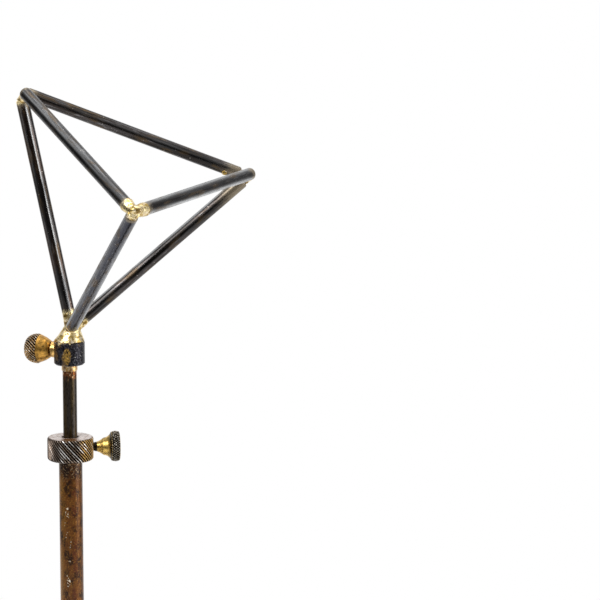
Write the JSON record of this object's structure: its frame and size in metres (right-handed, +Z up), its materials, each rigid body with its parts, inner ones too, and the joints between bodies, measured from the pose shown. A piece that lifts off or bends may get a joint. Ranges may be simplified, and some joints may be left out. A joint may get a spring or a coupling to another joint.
{
  "type": "wire tetrahedron on a telescopic stand",
  "caption": "Wire tetrahedron model brazed to a ferrule on a telescopic rod and tube column, with a knurled clamp collar, thumbscrews and a round cast base.",
  "frame": {"origin": "centre of the felt under the base, on the column's axis", "axes": "+Z up along the column, -Y towards the viewer, +X to the viewer's right"},
  "size_m": [0.1564, 0.155, 0.3892],
  "materials": {
    "cast_iron": "black japanned casting, worn at the edges",
    "felt": "pressed felt",
    "plain_steel": "dull zinc grey",
    "aged_brass": "brown patina, rubbed and spotted",
    "collar_brass": "dark grooves and rubbed bright crests",
    "dark_steel": "blackened and oiled",
    "bush_brass": "bright at the edges, brown in the corners",
    "knob_brass": "brown patina, dark knurl",
    "ferrule_iron": "blue black, pitted",
    "wire_steel": "mill black, rubbed, heat tints at the ends",
    "braze": "bright, uneven, as flowed"
  },
  "bodies": {
    "stand": {"base_casting": "cast_iron", "base_felt": "felt", "base_washer": "plain_steel", "base_nut": "plain_steel", "column_foot": "aged_brass", "column_tube": "aged_brass", "clamp_collar": "collar_brass"},
    "rod": {"sliding_rod": "dark_steel", "guide_sleeve": "bush_brass", "guide_pin": "plain_steel"},
    "head": {"ferrule": "ferrule_iron", "ferrule_bush": "bush_brass", "bush_rivet": "bush_brass", "screw_boss": "bush_brass", "top_wire": "wire_steel", "left_wire": "wire_steel", "right_wire": "wire_steel", "front_left_wire": "wire_steel", "front_right_wire": "wire_steel", "front_foot_wire": "wire_steel", "left_braze": "braze", "right_braze": "braze", "front_braze": "braze", "foot_braze": "braze"},
    "low_stem": {"low_screw_stem": "dark_steel"},
    "low_knob": {"low_screw_knob": "knob_brass"},
    "top_stem": {"top_screw_stem": "dark_steel"},
    "top_knob": {"top_screw_knob": "knob_brass"}
  },
  "joints": [
    {"name": "rod_slide", "type": "slide", "parent": "stand", "child": "rod", "axis": [0, 0, 1], "range_m": [-0.033, 0.1]},
    {"name": "head_swivel", "type": "hinge", "parent": "rod", "child": "head", "pos_m": [0, 0, 0.2553], "axis": [0, 0, 1], "continuous": true},
    {"name": "low_screw_travel", "type": "slide", "parent": "stand", "child": "low_stem", "axis": [0.9903, 0.1392, 0], "range_m": [0, 0.0016]},
    {"name": "low_screw_turn", "type": "hinge", "parent": "low_stem", "child": "low_knob", "pos_m": [0, 0, 0.2049], "axis": [0.9903, 0.1392, 0], "range_deg": [0, 720]},
    {"name": "top_screw_travel", "type": "slide", "parent": "head", "child": "top_stem", "axis": [-0.9511, 0.309, 0], "range_m": [0, 0.0016]},
    {"name": "top_screw_turn", "type": "hinge", "parent": "top_stem", "child": "top_knob", "pos_m": [0, 0, 0.2553], "axis": [-0.9511, 0.309, 0], "range_deg": [0, 720]}
  ],
  "couplings": [
    {"joint": "low_screw_turn", "follows": "low_screw_travel", "rad_per_m": 7853.9},
    {"joint": "top_screw_turn", "follows": "top_screw_travel", "rad_per_m": 7853.9}
  ]
}
